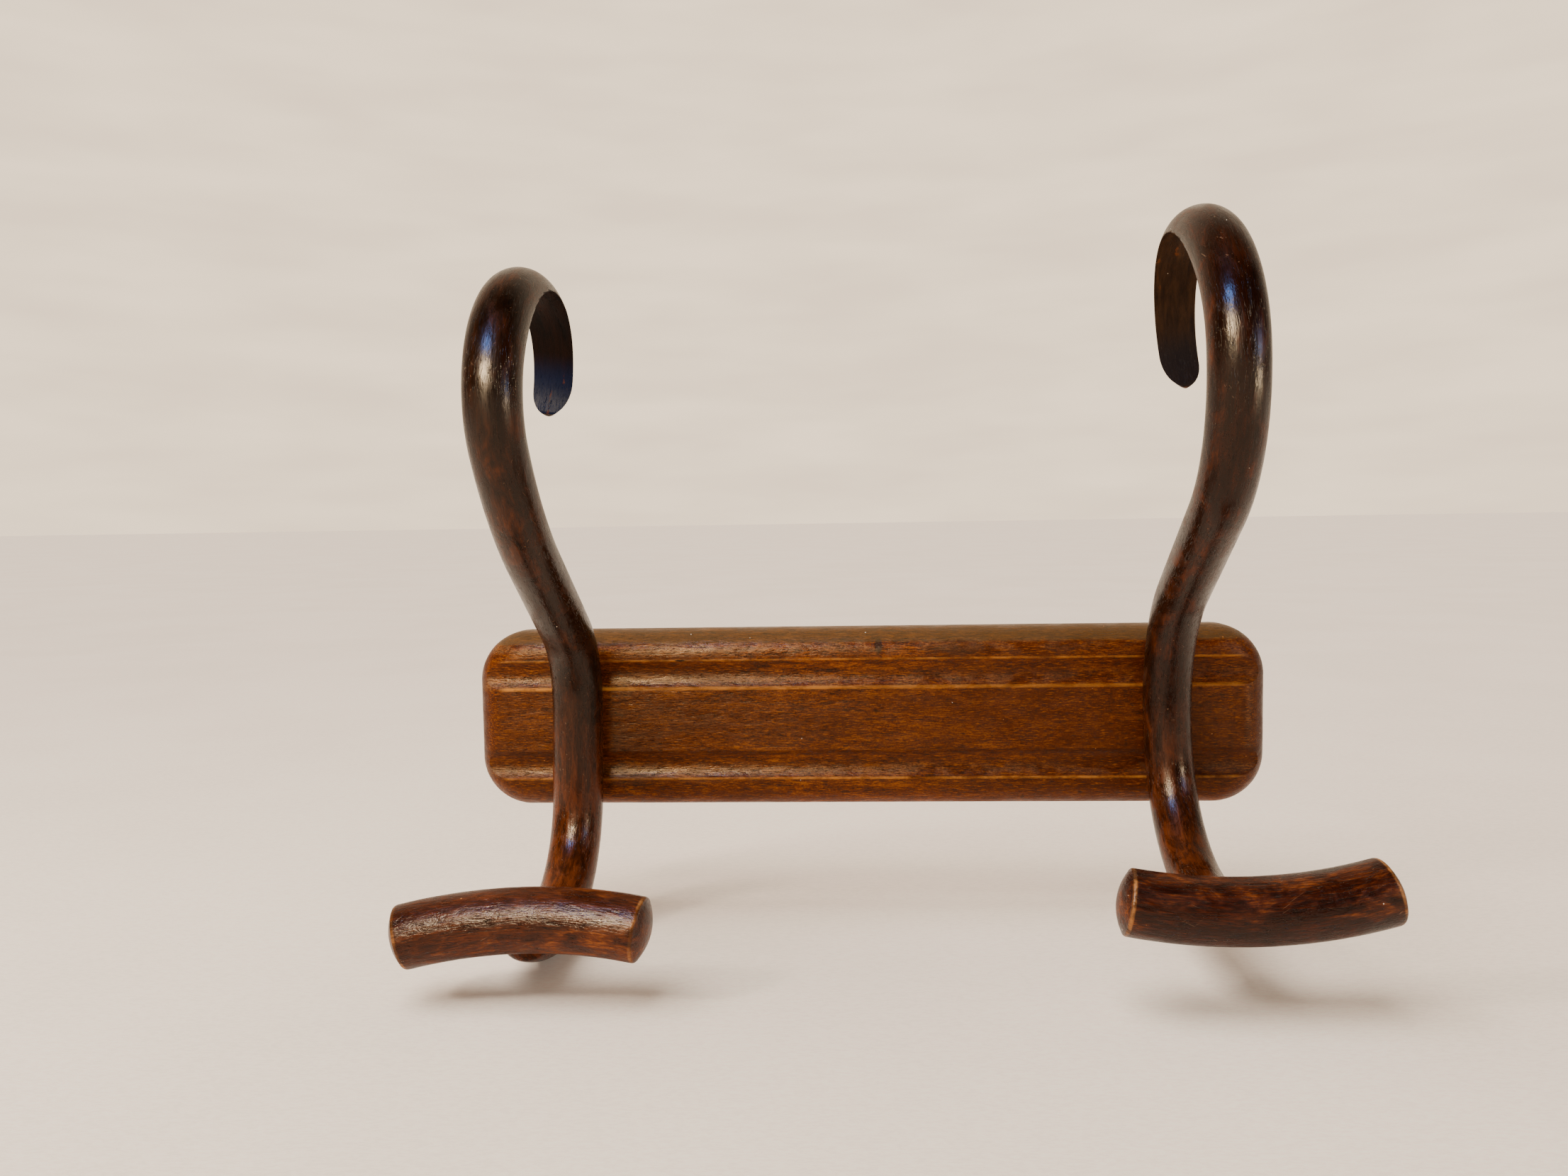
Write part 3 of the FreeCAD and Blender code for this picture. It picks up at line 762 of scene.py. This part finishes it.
dress("back_board", board_wood())
hook_finish = {
    "left": rod_wood("hook_wood_left", (3.1, 1.7, 6.2), rgb(18, 10, 5), rgb(36, 20, 9), rgb(57, 28, 11),
                     rgb(92, 48, 19), 0.51, 0.19, True, 1.0),
    "right": rod_wood("hook_wood_right", (8.4, 4.9, 2.5), rgb(18, 9, 4), rgb(37, 18, 7), rgb(60, 27, 8),
                      rgb(98, 48, 16), 0.48, 0.19, True, 0.4),
}
bar_finish = {
    "left": rod_wood("crossbar_wood_left", (5.7, 2.2, 9.3), rgb(26, 10, 2), rgb(62, 26, 5), rgb(102, 46, 9),
                     rgb(160, 88, 30), 0.47, 0.26),
    "right": rod_wood("crossbar_wood_right", (1.9, 8.8, 4.1), rgb(21, 9, 1), rgb(44, 17, 3), rgb(82, 34, 6),
                      rgb(146, 78, 28), 0.48, 0.26),
}
# The last colour of each is the painted reflection near the curl's tip.
curl_finish = {
    "left": curl_wood("curl_wood_left", (4.4, 6.1, 2.0), rgb(16, 8, 4), rgb(34, 18, 10),
                      hook_length(LEFT_HOOK), rgb(18, 30, 58)),
    "right": curl_wood("curl_wood_right", (7.3, 1.2, 5.5), rgb(32, 20, 11), rgb(62, 42, 25),
                       hook_length(RIGHT_HOOK), rgb(38, 33, 34)),
}
for side, hook, arch in (("left", LEFT_HOOK, 1), ("right", RIGHT_HOOK, -1)):
    rod = hook_mesh("hook_rod_" + side, hook)
    rod.data.materials.append(hook_finish[side])
    line_curl(rod, curl_finish[side])
    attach(rod, "rack")
    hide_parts("hook_" + side)
    bar = bar_mesh("crossbar_turning_" + side, hook, arch)
    bar.data.materials.append(bar_finish[side])
    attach(bar, "crossbar_" + side)
    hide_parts("crossbar_" + side)

dowel_finish = dowel_wood()
screw_finish = steel("screw_steel", rgb(176, 172, 166), rgb(138, 132, 124), 0.3)
plate_finish = steel("plate_steel", rgb(196, 194, 190), rgb(160, 156, 150), 0.34)
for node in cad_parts:
    if node.startswith("dowel"):
        dress(node, dowel_finish)
    elif "screw" in node:
        dress(node, screw_finish)
    elif node.startswith("hanger_plate"):
        dress(node, plate_finish)


# ---- Floor, lights and camera ----

def make_floor():
    low = CAD_BOX[0][2] - 0.0005
    bm = bmesh.new()
    bmesh.ops.create_grid(bm, x_segments=8, y_segments=8, size=30.0, matrix=Matrix.Translation((0, 0, low)))
    mesh = bpy.data.meshes.new("floor")
    bm.to_mesh(mesh)
    bm.free()
    mesh.materials.append(pale_floor())
    floor = bpy.data.objects.new("floor", mesh)
    bpy.context.scene.collection.objects.link(floor)


def lamp_at(name, light, place, target, lights, mirrored):
    """Adds a light that shines from place to target; it lights surfaces, is mirrored in them, or both."""
    lamp = bpy.data.objects.new(name, light)
    lamp.location = place
    lamp.rotation_euler = (Vector(target) - Vector(place)).to_track_quat("-Z", "Y").to_euler()
    lamp.visible_diffuse = bool(lights)
    lamp.visible_glossy = bool(mirrored)
    bpy.context.scene.collection.objects.link(lamp)


def area_light(name, place, target, size, power, colour, lights, mirrored):
    light = bpy.data.lights.new(name, "AREA")
    light.shape = "RECTANGLE"
    light.size, light.size_y = size
    light.energy = power
    light.color = colour
    lamp_at(name, light, place, target, lights, mirrored)


def sky_light():
    """A broad even light from above and the left, which lights the floor all the way out."""
    light = bpy.data.lights.new("sky", "SUN")
    light.energy = 4.3
    light.angle = radians(50)
    light.color = (1.0, 0.97, 0.93)
    lamp_at("sky", light, (-0.4, -0.15, 1.0), (0, 0, 0), 1, 0)


def make_world():
    """Plain pale surroundings, dimmer on the camera's side of the rack, as a room is."""
    world = bpy.data.worlds.new("studio")
    world.use_nodes = True
    tree = world.node_tree
    tree.nodes.clear()
    new, link = tree.nodes.new, tree.links.new
    direction = new("ShaderNodeTexCoord")
    parts = new("ShaderNodeSeparateXYZ")
    link(direction.outputs["Generated"], parts.inputs[0])
    depth = new("ShaderNodeMapRange")
    depth.interpolation_type = "SMOOTHSTEP"
    for key, value in (("From Min", -0.1), ("From Max", 0.8), ("To Min", ROOM_FRONT), ("To Max", ROOM_BACK)):
        depth.inputs[key].default_value = value
    link(parts.outputs[1], depth.inputs["Value"])
    seen = new("ShaderNodeLightPath")
    strength = new("ShaderNodeMix")
    link(seen.outputs["Is Camera Ray"], strength.inputs[0])
    link(depth.outputs[0], strength.inputs[2])
    folds = new("ShaderNodeTexNoise")
    stretched = new("ShaderNodeVectorMath")
    stretched.operation = "MULTIPLY"
    stretched.inputs[1].default_value = (1.5, 1.5, 7.0)
    link(direction.outputs["Generated"], stretched.inputs[0])
    link(stretched.outputs[0], folds.inputs["Vector"])
    backdrop = new("ShaderNodeMapRange")
    low, high = ROOM_SEEN * (1 - ROOM_FOLDS), ROOM_SEEN * (1 + ROOM_FOLDS)
    for key, value in (("From Min", 0.3), ("From Max", 0.7), ("To Min", low), ("To Max", high)):
        backdrop.inputs[key].default_value = value
    link(folds.outputs[0], backdrop.inputs["Value"])
    link(backdrop.outputs[0], strength.inputs[3])
    sky = new("ShaderNodeBackground")
    sky.inputs["Color"].default_value = WORLD_COLOUR
    link(strength.outputs[0], sky.inputs["Strength"])
    link(sky.outputs[0], new("ShaderNodeOutputWorld").inputs[0])
    bpy.context.scene.world = world


def make_camera():
    """The photograph's view: looking slightly down, turned and rolled a little, with a wide lens."""
    yaw, pitch, roll = radians(3.0), radians(3.5), radians(0.911)
    forward = Vector((-sin(yaw), cos(yaw), 0))
    right = Vector((cos(yaw), sin(yaw), 0))
    down = Vector((0, 0, -1))
    forward, down = down * sin(pitch) + forward * cos(pitch), down * cos(pitch) - forward * sin(pitch)
    right, down = right * cos(roll) + down * sin(roll), down * cos(roll) - right * sin(roll)
    lens = bpy.data.cameras.new("view")
    lens.lens = 27.03
    lens.sensor_width = 36.0
    lens.clip_start = 0.01
    camera = bpy.data.objects.new("view", lens)
    turn = Matrix((right, -down, -forward)).transposed().to_4x4()
    camera.matrix_world = Matrix.Translation((-0.0103, -0.6400, 0.1079)) @ turn
    bpy.context.scene.collection.objects.link(camera)
    bpy.context.scene.camera = camera


make_floor()
make_world()
make_camera()
sky_light()
area_light("key", (-0.95, -0.55, 0.60), (0, -0.05, 0.03), (0.16, 0.16), 6.5, (1.0, 0.93, 0.84), 1, 0)
area_light("window", (-0.27, -0.64, 0.61), (0, -0.1, 0.15), (0.24, 0.13), 6.0, (0.14, 0.34, 1.0), 0, 1)
area_light("lamp", (-0.27, -0.66, 0.34), (0, -0.1, 0.1), (0.20, 0.12), 15.0, (1.0, 0.80, 0.52), 0, 1)
area_light("far_window", (0.58, -0.45, 0.22), (0, -0.1, 0.15), (0.10, 0.07), 0.9, (0.3, 0.5, 1.0), 0, 1)
area_light("far_lamp", (0.58, -0.45, 0.09), (0, -0.1, 0.15), (0.10, 0.09), 1.8, (1.0, 0.80, 0.52), 0, 1)
